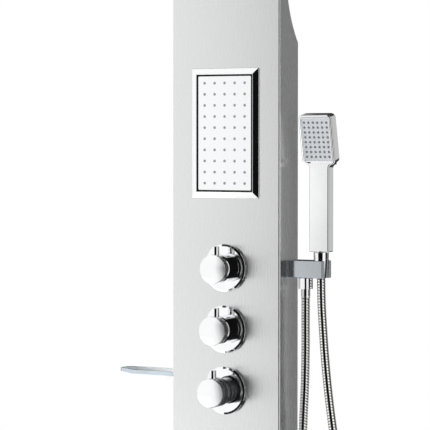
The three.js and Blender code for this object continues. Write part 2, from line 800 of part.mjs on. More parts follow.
function handsetParts() {
  const nutTop = armTopZ + nutAboveArm;
  const washerLow = tailTopZ + tailFlange + gap;
  const washerTop = washerLow + washerThickness;
  const nutBottom = armBottomZ + gap;
  const slope = (seatTopRadius - seatBottomRadius) / armHeight;
  const narrow = seatBottomRadius + slope * gap - gap;
  add('cone_nut', chrome, cut(
    turnedUp([
      [0, nutBottom],
      [narrow, nutBottom],
      [seatTopRadius - gap, armTopZ],
      [nutGripRadius, armTopZ + gap],
      [nutGripRadius, nutTop - 1],
      [nutGripRadius - 1, nutTop],
      [0, nutTop],
    ], holderX, armY, 0, 24),
    turnedUp(rod(ferruleRadius + gap, nutBottom - overcut, nutTop), holderX, armY, 0),
    turnedUp(rod(nippleRadius + gap, tailTopZ - gap, nutTop + overcut), holderX, armY, 0),
  ));
  add('handset_washer', blackRubber, turnedUp(
    ring(waterBoreRadius, nippleRadius, washerLow, washerTop), holderX, armY, 0,
  ));

  const tilt = new THREE.Matrix4().makeRotationX(THREE.MathUtils.degToRad(headTilt));
  const headFoot = handleBottomZ + handleLength;
  const toHead = (geometry) => toSolid(geometry
    .applyMatrix4(tilt)
    .translate(holderX, armY - handleDepth / 2 + headSetBack, headFoot));
  const slab = (width, length, corner, y0, y1) => extrude(
    roundedRectangle(width, length, corner), y1 - y0,
  ).rotateX(Math.PI / 2).translate(0, y1, headLength / 2);

  const handle = alongZ(roundedRectangle(handleWidth, handleDepth, handleCorner), handleBottomZ,
    headFoot + headThickness).translate([holderX, armY, 0]);
  const recessWidth = headWidth - 2 * faceBorder;
  const recessLength = headLength - 2 * faceBorder;
  const faceFloor = headRecess + matThickness;
  const body = handle.add(toHead(slab(headWidth, headLength, headCorner, 0, headThickness)))
    .add(turnedUp(rod(nippleRadius, washerTop + gap, handleBottomZ + overcut), holderX, armY, 0));
  const water = rod(waterBoreRadius, washerTop, headFoot + headThickness / 2);
  const handleFrontY = armY - handleDepth / 2;
  const frontTrim = block(holderX - headWidth, holderX + headWidth,
    handleFrontY - headLength, handleFrontY - gap, handleBottomZ, headFoot);
  add('handset_body', chrome, cut(
    body,
    frontTrim,
    toHead(slab(recessWidth, recessLength, faceCorner, -overcut, faceFloor)),
    toHead(slab(recessWidth - 4 * faceFrameWidth, recessLength - 4 * faceFrameWidth, faceCorner, 0,
      headThickness - 2 * sheet)),
    turnedUp(water, holderX, armY, 0),
  ));

  const inset = 2 * gap;
  const frameHole = 2 * faceFrameWidth;
  add('handset_face_frame', chrome, cut(
    toHead(slab(recessWidth - inset, recessLength - inset, faceCorner, 0, headRecess - gap)),
    toHead(slab(recessWidth - frameHole, recessLength - frameHole, 1, -overcut, headRecess)),
  ));
  let face = slab(recessWidth - inset, recessLength - inset, faceCorner, headRecess, faceFloor - gap);
  const raised = slab(
    recessWidth - frameHole - inset, recessLength - frameHole - inset, 1, 1, headRecess + gap,
  );
  face = toHead(face).add(toHead(raised));
  nozzles(handNozzleColumns, handNozzleRows, handNozzlePitch, handNozzlePitch).forEach(([x, z]) => {
    const tip = new THREE.CylinderGeometry(handNozzleRadius, handNozzleRadius, 2, nozzleSides);
    face = face.add(toHead(tip.translate(x, 1, z + headLength / 2)));
  });
  add('handset_nozzle_face', greySilicone, face);
}

function shelfParts() {
  const bottomZ = upperKnobZ - shelfBelowKnob - glassThickness;
  const topZ = bottomZ + glassThickness;
  const near = -sideX - gap - supportLip / 2;
  const far = -sideX - shelfReach;
  const frontEdge = frontY + shelfFrontInset;
  const backEdge = frontEdge + shelfDepth;
  const outline = new THREE.Shape();
  outline.moveTo(near, frontEdge);
  outline.lineTo(near, backEdge);
  outline.lineTo(far + 2 * shelfCorner, backEdge);
  outline.quadraticCurveTo(far, backEdge, far, backEdge - shelfCorner);
  outline.lineTo(far, frontEdge + shelfChamferY);
  outline.lineTo(far + shelfChamferX, frontEdge);
  outline.closePath();
  add('shelf_glass', paleGlass, alongZ(outline, bottomZ, topZ, 6));

  const supports = {
    front: frontEdge + supportFrontInset + supportWidth / 2,
    rear: backEdge - supportBackInset - supportWidth / 2,
  };
  Object.entries(supports).forEach(([place, y]) => {
    const out = -sideX - gap;
    const low = y - supportWidth / 2;
    const high = y + supportWidth / 2;
    const screwX = out - supportLip;
    const grip = block(out - supportLength, out, low, high, bottomZ - supportJaw, bottomZ - gap)
      .add(block(out - supportLip / 2 + gap, out, low, high, bottomZ - supportJaw, topZ + supportLip))
      .add(block(out - 2 * supportLip, out, low, high, topZ + gap, topZ + supportLip));
    const hole = turnedUp(
      rod(supportScrewRadius + gap, bottomZ - supportJaw - overcut, bottomZ), screwX - supportLip, y, 0, 12,
    );
    add(`shelf_support_${place}`, chrome, cut(grip, hole));
    add(`shelf_screw_${place}`, zincSteel, turnedUp(
      rod(supportScrewRadius, bottomZ - supportJaw, bottomZ - gap), screwX - supportLip, y, 0, 12,
    ));
  });
}

add('column_shell', brushedSteel, columnShell());
add('head_shell', brushedSteel, headShell());
add('neck_cover', brushedSteel, neckCover());
add('head_cover', brushedSteel, headCover());
add('bottom_cap', brushedSteel, bottomCap());
add('upper_wall_bracket', zincSteel, wallBracket(0));
add('lower_wall_bracket', zincSteel, wallBracket(-bracketLowerDrop));
sprayParts();
rainParts();
add('valve_body', brass, valveBody());
knobs.forEach(controlParts);
pipes();
outletParts();
add('shower_hose', chrome, tube(hosePath(), hoseRadius, 8, 44));
handsetParts();
shelfParts();

export default group;
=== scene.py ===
import math

import bpy
from mathutils import Matrix, Vector


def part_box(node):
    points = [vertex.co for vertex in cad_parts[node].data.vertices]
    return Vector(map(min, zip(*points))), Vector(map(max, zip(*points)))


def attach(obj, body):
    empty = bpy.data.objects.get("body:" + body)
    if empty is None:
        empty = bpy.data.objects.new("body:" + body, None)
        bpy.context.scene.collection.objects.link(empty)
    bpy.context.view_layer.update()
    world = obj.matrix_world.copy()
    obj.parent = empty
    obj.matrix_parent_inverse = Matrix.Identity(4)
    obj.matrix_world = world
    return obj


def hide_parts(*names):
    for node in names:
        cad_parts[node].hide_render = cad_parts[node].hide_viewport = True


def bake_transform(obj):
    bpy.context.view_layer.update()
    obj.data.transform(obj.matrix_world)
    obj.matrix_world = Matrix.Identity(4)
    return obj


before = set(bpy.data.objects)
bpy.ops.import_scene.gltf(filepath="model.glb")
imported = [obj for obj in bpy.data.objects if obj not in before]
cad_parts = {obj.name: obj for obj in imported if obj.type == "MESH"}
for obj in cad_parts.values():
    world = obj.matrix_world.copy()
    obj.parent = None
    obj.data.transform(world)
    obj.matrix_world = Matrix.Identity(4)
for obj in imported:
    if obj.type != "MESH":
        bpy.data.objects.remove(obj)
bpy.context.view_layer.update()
print("shower column: frame loaded")

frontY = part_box("column_shell")[0].y
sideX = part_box("column_shell")[1].x
clearance = 0.0003    # between pieces that fit into each other
fineEdge = 0.0003    # eased edge of small pieces
plainEdge = 0.0004    # eased edge of larger ones


# ------ camera

cameraSetup = {
    "target": (-0.0197, frontY, -0.244),
    "azimuth": 29.5,
    "elevation": 2.0,
    "distance": 3.7,
    "lens": 189.7,
}


def addCamera(setup):
    turn = math.radians(setup["azimuth"])
    rise = math.radians(setup["elevation"])
    outward = Vector((math.sin(turn) * math.cos(rise), -math.cos(turn) * math.cos(rise), math.sin(rise)))
    place = Vector(setup["target"]) + setup["distance"] * outward
    bpy.ops.object.camera_add(location=place)
    camera = bpy.context.object
    camera.name = "camera"
    camera.rotation_euler = (-outward).to_track_quat("-Z", "Y").to_euler()
    camera.data.lens = setup["lens"]
    camera.data.sensor_width = 36
    bpy.context.scene.camera = camera


addCamera(cameraSetup)


# ------ selecting, placing, finishing

def nothingSelected():
    if bpy.context.mode != "OBJECT":
        bpy.ops.object.mode_set(mode="OBJECT")
    bpy.ops.object.select_all(action="DESELECT")


def makeActive(piece):
    nothingSelected()
    piece.select_set(True)
    bpy.context.view_layer.objects.active = piece


def editAll(piece):
    makeActive(piece)
    bpy.ops.object.mode_set(mode="EDIT")
    bpy.ops.mesh.select_all(action="SELECT")


def placeInMesh(piece):
    makeActive(piece)
    bpy.ops.object.transform_apply(location=True, rotation=True, scale=True)


def applyModifier(piece, kind, **settings):
    makeActive(piece)
    modifier = piece.modifiers.new(kind.lower(), kind)
    for key, value in settings.items():
        setattr(modifier, key, value)
    bpy.ops.object.modifier_apply(modifier=modifier.name)


def softenEdges(piece, width, segments=2, angle=35):
    applyModifier(piece, "BEVEL", width=width, segments=segments, limit_method="ANGLE",
                  angle_limit=math.radians(angle), use_clamp_overlap=True)


def smoothShade(piece, angle=38):
    makeActive(piece)
    bpy.ops.object.shade_smooth_by_angle(angle=math.radians(angle))
    applyModifier(piece, "WEIGHTED_NORMAL", keep_sharp=True)


def joinInto(piece, others):
    nothingSelected()
    for other in others:
        other.select_set(True)
    piece.select_set(True)
    bpy.context.view_layer.objects.active = piece
    bpy.ops.object.join()
    return piece


def booleanWith(piece, tool, operation):
    applyModifier(piece, "BOOLEAN", object=tool, operation=operation)
    bpy.data.objects.remove(tool)


def dress(piece, material, body, slot, *nodes):
    piece.data.materials.clear()
    piece.data.materials.append(material)
    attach(piece, body)
    if nodes:
        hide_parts(*nodes)
    return piece


# A closed outline as one face, its points in the plane of the two named axes.
def outlineFace(name, points):
    nothingSelected()
    bpy.ops.mesh.primitive_circle_add(vertices=len(points), radius=0.01, fill_type="NGON")
    piece = bpy.context.object
    piece.name = name
    for vertex, point in zip(piece.data.vertices, points):
        vertex.co = point
    return piece


def thicken(piece, step):
    editAll(piece)
    bpy.ops.mesh.extrude_region_move(TRANSFORM_OT_translate={"value": step})
    bpy.ops.mesh.select_all(action="SELECT")
    bpy.ops.mesh.normals_make_consistent(inside=False)
    bpy.ops.object.mode_set(mode="OBJECT")


# A flat ring as wide as given, inside the outline, then thickened.
def flatRing(name, points, width, step):
    ring = outlineFace(name, points)
    editAll(ring)
    bpy.ops.mesh.inset(thickness=width)
    bpy.ops.mesh.delete(type="FACE")
    bpy.ops.object.mode_set(mode="OBJECT")
    thicken(ring, step)
    return ring


def selectFaces(piece, test):
    editAll(piece)
    bpy.ops.mesh.select_all(action="DESELECT")
    bpy.ops.object.mode_set(mode="OBJECT")
    for polygon in piece.data.polygons:
        polygon.select = test(polygon)
    bpy.ops.object.mode_set(mode="EDIT")
    bpy.ops.mesh.select_mode(type="FACE")


def roundedOutline(halfX, halfZ, corner, arcSteps=6):
    points = []
    for quarter in range(4):
        signX = 1 if quarter in (0, 3) else -1
        signZ = 1 if quarter in (0, 1) else -1
        for step in range(arcSteps + 1):
            angle = math.pi / 2 * (quarter + step / arcSteps)
            points.append((signX * (halfX - corner) + corner * math.cos(angle),
                           signZ * (halfZ - corner) + corner * math.sin(angle)))
    return points


def block(name, low, high):
    nothingSelected()
    middle = [(a + b) / 2 for a, b in zip(low, high)]
    bpy.ops.mesh.primitive_cube_add(size=1, location=middle)
    piece = bpy.context.object
    piece.name = name
    piece.scale = [b - a for a, b in zip(low, high)]
    placeInMesh(piece)
    return piece


lathe = {"up": (0, 0, 0), "out": (math.pi / 2, 0, 0), "right": (0, math.pi / 2, 0)}


# A closed profile of (radius, height) spun about the axis, then stood at its place.
def turnOnLathe(name, profile, place, direction="up", sides=64):
    nothingSelected()
    bpy.ops.mesh.primitive_circle_add(vertices=len(profile), radius=0.01)
    piece = bpy.context.object
    piece.name = name
    for vertex, (radius, height) in zip(piece.data.vertices, profile):
        vertex.co = (radius, 0, height)
    editAll(piece)
    bpy.ops.mesh.spin(steps=sides, angle=2 * math.pi, center=(0, 0, 0), axis=(0, 0, 1))
    bpy.ops.mesh.select_all(action="SELECT")
    bpy.ops.mesh.remove_doubles(threshold=1e-6)
    bpy.ops.mesh.normals_make_consistent(inside=False)
    bpy.ops.object.mode_set(mode="OBJECT")
    piece.rotation_euler = lathe[direction]
    piece.location = place
    placeInMesh(piece)
    return piece


# A node's own solid with its facets merged, its edges eased and its curves shaded smooth.
def copyOfNode(node, ease=plainEdge, segments=2, angle=38):
    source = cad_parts[node]
    piece = source.copy()
    piece.data = source.data.copy()
    for key in list(piece.keys()):
        del piece[key]
    bpy.context.scene.collection.objects.link(piece)
    piece.parent = None
    piece.name = node + "_finished"
    editAll(piece)
    bpy.ops.mesh.remove_doubles(threshold=2e-6)
    bpy.ops.mesh.customdata_custom_splitnormals_clear()
    bpy.ops.mesh.select_all(action="SELECT")
    bpy.ops.mesh.dissolve_limited(angle_limit=math.radians(0.6))
    bpy.ops.object.mode_set(mode="OBJECT")
    if ease:
        softenEdges(piece, ease, segments)
    smoothShade(piece, angle)
    return piece


# ------ materials

def newMaterial(name):
    material = bpy.data.materials.new(name)
    material.use_nodes = True
    nodes = material.node_tree.nodes
    return material, nodes, material.node_tree.links, nodes["Principled BSDF"]


def patternNoise(nodes, links, scale, detail=2.0, place="Object"):
    coordinates = nodes.new("ShaderNodeTexCoord")
    mapping = nodes.new("ShaderNodeMapping")
    noise = nodes.new("ShaderNodeTexNoise")
    mapping.inputs["Scale"].default_value = scale
    noise.inputs["Scale"].default_value = 1.0
    noise.inputs["Detail"].default_value = detail
    links.new(coordinates.outputs[place], mapping.inputs["Vector"])
    links.new(mapping.outputs["Vector"], noise.inputs["Vector"])
    return noise


def spread(nodes, links, source, low, high):
    span = nodes.new("ShaderNodeMapRange")
    span.inputs["From Min"].default_value = 0.3
    span.inputs["From Max"].default_value = 0.7
    span.inputs["To Min"].default_value = low
    span.inputs["To Max"].default_value = high
    links.new(source.outputs["Fac"], span.inputs["Value"])
    return span.outputs["Result"]


def tinted(nodes, links, source, dark, light):
    ramp = nodes.new("ShaderNodeValToRGB")
    ramp.color_ramp.elements[0].position = 0.3
    ramp.color_ramp.elements[1].position = 0.7
    ramp.color_ramp.elements[0].color = (*dark, 1)
    ramp.color_ramp.elements[1].color = (*light, 1)
    links.new(source.outputs["Fac"], ramp.inputs["Fac"])
    return ramp.outputs["Color"]


def surfaceBump(nodes, links, source, shader, strength, distance):
    bump = nodes.new("ShaderNodeBump")
    bump.inputs["Strength"].default_value = strength
    bump.inputs["Distance"].default_value = distance
    links.new(source.outputs["Fac"], bump.inputs["Height"])
    links.new(bump.outputs["Normal"], shader.inputs["Normal"])


brushedSetup = {
    "dark": (0.84, 0.845, 0.85),
    "light": (0.9, 0.903, 0.905),
    "roughLow": 0.24,
    "roughHigh": 0.29,
    "anisotropy": 0.8,
}


def brushedSteel(name, grain):
    material, nodes, links, shader = newMaterial(name)
    strokes = patternNoise(nodes, links, grain, 3)
    links.new(tinted(nodes, links, strokes, brushedSetup["dark"], brushedSetup["light"]),
              shader.inputs["Base Color"])
    links.new(spread(nodes, links, strokes, brushedSetup["roughLow"], brushedSetup["roughHigh"]),
              shader.inputs["Roughness"])
    surfaceBump(nodes, links, strokes, shader, 0.02, 0.0001)
    shader.inputs["Metallic"].default_value = 1
    shader.inputs["Anisotropic"].default_value = brushedSetup["anisotropy"]
    tangent = nodes.new("ShaderNodeTangent")
    tangent.direction_type = "RADIAL"
    tangent.axis = "Z"
    links.new(tangent.outputs["Tangent"], shader.inputs["Tangent"])
    return material


# Polished or cast metal: a little uneven in tint and gloss.
def metal(name, dark, light, roughLow, roughHigh, scale=(60, 60, 60), bump=0.0):
    material, nodes, links, shader = newMaterial(name)
    clouds = patternNoise(nodes, links, scale, 4)
    links.new(tinted(nodes, links, clouds, dark, light), shader.inputs["Base Color"])
    links.new(spread(nodes, links, clouds, roughLow, roughHigh), shader.inputs["Roughness"])
    shader.inputs["Metallic"].default_value = 1
    if bump:
        surfaceBump(nodes, links, clouds, shader, bump, 0.0002)
    return material


def moulded(name, dark, light, roughness, scale, bump):
    material, nodes, links, shader = newMaterial(name)
    speckle = patternNoise(nodes, links, (scale, scale, scale), 5)
    links.new(tinted(nodes, links, speckle, dark, light), shader.inputs["Base Color"])
    links.new(spread(nodes, links, speckle, roughness, roughness + 0.12), shader.inputs["Roughness"])
    surfaceBump(nodes, links, speckle, shader, bump, 0.0002)
    return material


# Wound strip: bright on its ridges, with painted shade that darkens its colour in the grooves between them.
def woundSteelGrooveShade(name, groove, crest):
    material, nodes, links, shader = newMaterial(name)
    # The attribute carries the painted shade: nought in the grooves, one on the ridges.
    paintedGrooveShade = nodes.new("ShaderNodeAttribute")
    paintedGrooveShade.attribute_name = "paintedGrooveShade"
    links.new(tinted(nodes, links, paintedGrooveShade, groove, crest), shader.inputs["Base Color"])
    clouds = patternNoise(nodes, links, (200, 200, 200), 3)
    links.new(spread(nodes, links, clouds, 0.06, 0.14), shader.inputs["Roughness"])
    shader.inputs["Metallic"].default_value = 1
    return material


def glassMaterial():
    material, nodes, links, shader = newMaterial("shelfGlass")
    haze = patternNoise(nodes, links, (30, 30, 30), 2)
    links.new(tinted(nodes, links, haze, (0.80, 0.90, 0.93), (0.84, 0.93, 0.95)), shader.inputs["Base Color"])
    links.new(spread(nodes, links, haze, 0.01, 0.03), shader.inputs["Roughness"])
    shader.inputs["Transmission Weight"].default_value = 1
    shader.inputs["IOR"].default_value = 1.5
    return material


columnSteel = brushedSteel("columnSteel", (2600, 2600, 14))
headSteel = brushedSteel("headSteel", (2600, 12, 12))
chrome = metal("chrome", (0.94, 0.945, 0.955), (0.975, 0.978, 0.985), 0.02, 0.045)
turnedChrome = metal("turnedChrome", (0.5, 0.515, 0.53), (0.64, 0.65, 0.66), 0.22, 0.34, (40, 900, 40))
satinChrome = metal("satinChrome", (0.49, 0.53, 0.56), (0.55, 0.58, 0.61), 0.12, 0.18, (300, 300, 300))
plateSatin = metal("plateSatin", (0.93, 0.935, 0.95), (0.98, 0.983, 0.99), 0.14, 0.22, (500, 500, 20))
# The hose's steel has painted shade: its colour is darker in the grooves of the winding.
hoseSteelGrooveShade = woundSteelGrooveShade("hoseSteelGrooveShade", (0.42, 0.41, 0.39), (0.95, 0.95, 0.945))
brass = metal("machinedBrass", (0.6, 0.45, 0.2), (0.74, 0.58, 0.29), 0.22, 0.36, (150, 150, 400), 0.1)
copper = metal("drawnCopper", (0.6, 0.33, 0.2), (0.75, 0.44, 0.3), 0.2, 0.34, (250, 250, 20), 0.05)
zinc = metal("zincPlate", (0.5, 0.52, 0.54), (0.66, 0.68, 0.69), 0.3, 0.48, (120, 120, 120), 0.1)
silicone = moulded("greySilicone", (0.30, 0.31, 0.32), (0.38, 0.39, 0.4), 0.5, 900, 0.08)
paleSilicone = moulded("paleSilicone", (0.6, 0.62, 0.65), (0.68, 0.7, 0.73), 0.45, 900, 0.05)
nozzleRubber = moulded("nozzleRubber", (0.15, 0.16, 0.165), (0.21, 0.22, 0.225), 0.5, 900, 0.05)
whitePlastic = moulded("whitePlastic", (0.76, 0.77, 0.77), (0.82, 0.83, 0.83), 0.35, 700, 0.05)
blackRubber = moulded("blackRubber", (0.006, 0.006, 0.007), (0.012, 0.012, 0.013), 0.7, 800, 0.1)
glass = glassMaterial()
glassEdge = moulded("glassEdge", (0.66, 0.75, 0.83), (0.74, 0.82, 0.88), 0.08, 40, 0.0)
edgeShader = glassEdge.node_tree.nodes["Principled BSDF"]
edgeShader.inputs["Transmission Weight"].default_value = 0.45    # ground rim, only half clear
print("shower column: materials made")


# ------ hose

hoseSetup = {
    "start": (0.125, -0.0225, -0.3769),
    "end": (0.153, -0.0225, -0.3443),
    "outletX": 0.125,
    "knobZ": -0.330,
    "radius": 0.007,
    "ridgePitch": 0.0046,
    "ridgeDepth": 0.0008,
    "ringStep": 0.0009,
    "sides": 20,
    "stretchFrom": (0.129, -0.0225, -0.330),
    "stretchSpan": (0.02484, 0, -0.001987),
}
# The loop as distances from the outlet's axis and from the upper control, in metres.
hoseLoop = [
    (0, -0.090), (0, -0.135), (-0.001, -0.185), (-0.0035, -0.240), (-0.006, -0.300),
    (-0.0085, -0.365), (-0.0105, -0.435), (-0.012, -0.505), (-0.0133, -0.575), (-0.014, -0.635),
    (-0.012, -0.678), (-0.003, -0.710), (0.016, -0.734), (0.042, -0.745), (0.070, -0.741),
    (0.093, -0.724), (0.107, -0.696), (0.111, -0.660), (0.110, -0.615), (0.105, -0.560),
    (0.096, -0.498), (0.084, -0.433), (0.070, -0.365), (0.057, -0.300), (0.047, -0.240),
    (0.040, -0.188), (0.035, -0.140), (0.0315, -0.095), (0.029, -0.055),
]


# A centripetal curve through the points, as one list of places a small step apart.
def smoothRoute(points, step):
    ends = [2 * points[0] - points[1]] + points + [2 * points[-1] - points[-2]]
    route = []
    for a, b, c, d in zip(ends, ends[1:], ends[2:], ends[3:]):
        before, across, after = [math.sqrt((q - p).length) for p, q in ((a, b), (b, c), (c, d))]
        leave = ((b - a) / before - (c - a) / (before + across) + (c - b) / across) * across
        arrive = ((c - b) / across - (d - b) / (across + after) + (d - c) / after) * across
        count = max(2, round((c - b).length / step))
        for i in range(count):
            t = i / count
            route.append(b + leave * t + (3 * (c - b) - 2 * leave - arrive) * t ** 2
                         + (2 * (b - c) + leave + arrive) * t ** 3)
    return route + [points[-1]]


def ridgedHose(setup):
    loop = [Vector((setup["outletX"] + x, setup["start"][1], setup["knobZ"] + z)) for x, z in hoseLoop]
    route = smoothRoute([Vector(setup["start"])] + loop + [Vector(setup["end"])], setup["ringStep"])
    sides = setup["sides"]
    across = Vector((0, 1, 0))
    vertices, paintedGrooveShades = [], []
    walked = 0.0
    for i, centre in enumerate(route):
        ahead = route[min(i + 1, len(route) - 1)]
        behind = route[max(i - 1, 0)]
        outward = (ahead - behind).normalized().cross(across)
        walked += (centre - behind).length
        for side in range(sides):
            angle = 2 * math.pi * side / sides
            wave = math.cos(2 * math.pi * walked / setup["ridgePitch"] - angle)
            reach = setup["radius"] - setup["ridgeDepth"] * (0.5 - 0.5 * wave) ** 2
            # painted shade: nought where the winding dips into a groove, so the colour there is painted dark
            paintedGrooveShades.append(0.5 + 0.5 * wave)
            vertices.append(centre + reach * (math.cos(angle) * outward + math.sin(angle) * across))
    faces = [tuple(reversed(range(sides)))]
    for ring in range(len(route) - 1):
        for side in range(sides):
            along = (side + 1) % sides
            first = ring * sides
            faces.append((first + side, first + along, first + sides + along, first + sides + side))
    last = (len(route) - 1) * sides
    faces.append(tuple(range(last, last + sides)))
    mesh = bpy.data.meshes.new("hose")
    mesh.from_pydata(vertices, [], faces)
    mesh.attributes.new("paintedGrooveShade", "FLOAT", "POINT").data.foreach_set("value", paintedGrooveShades)
    hose = bpy.data.objects.new("hose", mesh)
    bpy.context.scene.collection.objects.link(hose)
    editAll(hose)
    bpy.ops.mesh.normals_make_consistent(inside=False)
    bpy.ops.object.mode_set(mode="OBJECT")
    makeActive(hose)
    bpy.ops.object.shade_smooth()
    return hose, route


hose, hoseRoute = ridgedHose(hoseSetup)
hose.data.materials.append(hoseSteelGrooveShade)
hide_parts("shower_hose")
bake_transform(hose)
print("shower column: hose made,", len(hoseRoute), "rings")


# ------ folded steel panels

dress(copyOfNode("column_shell", 0), columnSteel, "column", "brushed_stainless", "column_shell")
dress(copyOfNode("head_shell", 0), headSteel, "column", "brushed_stainless", "head_shell")
for node in ("neck_cover", "head_cover"):
    dress(copyOfNode(node, fineEdge), headSteel, "column", "brushed_stainless", node)
dress(copyOfNode("bottom_cap", plainEdge), columnSteel, "column", "brushed_stainless", "bottom_cap")
for node in ("upper_wall_bracket", "lower_wall_bracket", "shelf_screw_front", "shelf_screw_rear"):
    dress(copyOfNode(node, fineEdge), zinc, "column", "bracket_zinc", node)
print("shower column: panels made")


# ------ controls

knobSetup = {
    "grooveDepth": 0.0011,
    "grooveWidth": 0.0018,
    "flangeChamfer": 0.0034,
    "flangeFall": 0.0026,
    "domeSteps": 8,
    "domeRise": 0.0018,
    "capEdge": 0.0008,
    "sides": 96,
    "pinEdge": 0.0007,
    "pinSides": 48,
    "sleeveGroove": 0.25,
}


# Small V grooves around a cylinder's side, as profile points from the back to the front.
def grooved(radius, places):
    half = knobSetup["grooveWidth"] / 2
    points = []
    for place in places:
        points += [(radius, place - half), (radius - knobSetup["grooveDepth"], place), (radius, place + half)]
    return points


def outBox(node):
    low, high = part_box(node)
    return (high.x - low.x) / 2, frontY - high.y, frontY - low.y, (low.z + high.z) / 2


# The sides of a turned control can have a softer finish than its polished front.
def controlKnob(name, capGrooves, sideFinish):
    body = name + "_knob"
    radius, back, front, z = outBox(name + "_flange")
    place = (0, frontY, z)
    bore = outBox(name + "_cartridge_nut")[0] + clearance
    chamfer, fall = knobSetup["flangeChamfer"], knobSetup["flangeFall"]
    flange = turnOnLathe(name + "FlangeTurned", [(bore, back), (radius, back), (radius, front - fall),
                                                 (radius - chamfer, front), (bore, front)],
                         place, "out", knobSetup["sides"])
    softenEdges(flange, fineEdge, 2, 12)
    smoothShade(flange, 12)
    dress(flange, chrome, "column", "chrome", name + "_flange")

    radius, back, front, z = outBox(name + "_sleeve")
    groove = back + knobSetup["sleeveGroove"] * (front - back)
    profile = [(bore, back), (radius, back)] + grooved(radius, [groove]) + [(radius, front), (bore, front)]
    sleeve = turnOnLathe(name + "SleeveTurned", profile, place, "out", knobSetup["sides"])
    smoothShade(sleeve, 20)
    dress(sleeve, sideFinish, "column", "chrome", name + "_sleeve")

    radius, back, front, z = outBox(name + "_cap")
    edge = knobSetup["capEdge"]
    rise = knobSetup["domeRise"]
    shoulder = front - rise
    socket = outBox(name + "_spindle")[0] + clearance
    socketEnd = outBox(name + "_spindle")[2] + clearance
    profile = [(socket, back), (radius - edge / 2, back), (radius, back + edge / 2)]
    profile += grooved(radius, [back + share * (shoulder - back) for share in capGrooves])
    profile += [(radius, shoulder - edge)]
    for step in range(1, 4):
        angle = math.pi / 2 * step / 4
        profile.append((radius - edge * (1 - math.cos(angle)), shoulder - edge * (1 - math.sin(angle))))
    for step in range(knobSetup["domeSteps"] + 1):
        share = 1 - step / knobSetup["domeSteps"]
        profile.append(((radius - edge) * share, shoulder + rise * (1 - share ** 2)))
    profile += [(0, socketEnd), (socket, socketEnd)]
    cap = turnOnLathe(name + "CapTurned", profile, place, "out", knobSetup["sides"])
    low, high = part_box(name + "_pin")
    pinRadius = (high.x - low.x) / 2
    pinY = (low.y + high.y) / 2
    hole = turnOnLathe("pinHole", [(0, low.z - clearance), (pinRadius + clearance, low.z - clearance),
                                   (pinRadius + clearance, high.z), (0, high.z)],
                       (0, pinY, 0), "up", knobSetup["pinSides"])
    booleanWith(cap, hole, "DIFFERENCE")
    smoothShade(cap, 20)
    dress(cap, chrome, body, "chrome", name + "_cap")
    cap.data.materials.append(sideFinish)
    for polygon in cap.data.polygons:
        polygon.material_index = 1 if abs(polygon.normal.y) < 0.5 else 0

    pin = turnOnLathe(name + "PinTurned", [(0, low.z), (pinRadius, low.z), (pinRadius, high.z), (0, high.z)],
                      (0, pinY, 0), "up", knobSetup["pinSides"])
    softenEdges(pin, knobSetup["pinEdge"], 3)
    smoothShade(pin)
    dress(pin, chrome, body, "chrome", name + "_pin")

    dress(copyOfNode(name + "_spindle", fineEdge), brass, body, "valve_brass", name + "_spindle")
    dress(copyOfNode(name + "_cartridge", fineEdge), whitePlastic, "column", "white_plastic",
          name + "_cartridge")
    dress(copyOfNode(name + "_cartridge_nut", fineEdge), brass, "column", "valve_brass",
          name + "_cartridge_nut")


controlKnob("upper", [0.12], chrome)
controlKnob("middle", [0.12], chrome)
controlKnob("lower", [0.12, 0.36, 0.47, 0.58], turnedChrome)

ringSetup = {
    "stand": 0.0018,
    "length": 0.0034,
    "snug": 0.0001,
    "screwRadius": 0.0017,
    "screwStand": 0.0007,
    "screwSocket": 0.0005,
    "screwLength": 0.0012,
    "screwFromFront": 0.35,
}


def lowerRing(setup):
    sleeve, _, front, z = outBox("lower_sleeve")
    radius, capBack, capFront, z = outBox("lower_cap")
    end = min(front, capBack - plainEdge)
    start = end - setup["length"]
    inside, outside = sleeve + setup["snug"], sleeve + setup["stand"]
    ring = turnOnLathe("lowerRing", [(inside, start), (outside, start), (outside, end), (inside, end)],
                       (0, frontY, z), "out", knobSetup["sides"])
    softenEdges(ring, plainEdge, 3)
    smoothShade(ring)
    dress(ring, blackRubber, "column", "black_rubber")
    y = frontY - capFront + setup["screwFromFront"] * (capFront - capBack)
    low = z - radius - setup["screwStand"]
    outer = setup["screwRadius"]
    inner = outer * 0.5
    socket, top = low + setup["screwSocket"], low + setup["screwLength"]
    screw = turnOnLathe("lowerLockingScrew", [(0, socket), (inner, socket), (inner, low), (outer, low),
                                              (outer, top), (0, top)], (0, y, 0), "up", 24)
    softenEdges(screw, setup["snug"])
    smoothShade(screw)
    dress(screw, blackRubber, "lower_knob", "black_rubber")


lowerRing(ringSetup)
print("shower column: controls made")


# ------ nozzles and plates

# One soft nozzle, its tip rounded and bored, copied to each place in a grid and joined into the first.
def nozzleField(name, profile, places, direction, sides=12):
    first = turnOnLathe(name, profile, (0, 0, 0), direction, sides)
    smoothShade(first, 45)
    copies = []
    for place in places:
        copy = first.copy()
        copy.data = first.data.copy()
        copy.data.transform(Matrix.Translation(place))
        bpy.context.scene.collection.objects.link(copy)
        copies.append(copy)
    bpy.data.objects.remove(first)
    copies[0].name = name
    return joinInto(copies[0], copies[1:])


def nozzleProfile(radius, length):
    return [(0, 0), (radius * 1.15, 0), (radius, length * 0.45), (radius * 0.92, length * 0.85),
            (radius * 0.7, length), (radius * 0.42, length), (radius * 0.4, length * 0.7), (0, length * 0.7)]


def grid(columns, rows, pitchX, pitchZ):
    return [((column - (columns - 1) / 2) * pitchX, (row - (rows - 1) / 2) * pitchZ)
            for column in range(columns) for row in range(rows)]


spraySetup = {
    "columns": 5,
    "rows": 10,
    "pitchX": 0.0186,
    "pitchZ": 0.0181,
    "nozzle": 0.0021,
    "corner": 0.002,
    "bezelSlope": 0.010,
    "bezelEdge": 0.0012,
    "bezelRim": 0.0009,
    "openingPast": 0.001,
    "darkRing": 0.0029,
    "darkRingGap": 0.0002,
    "darkRingBack": 0.0009,
    "behindRim": 0.0013,
}


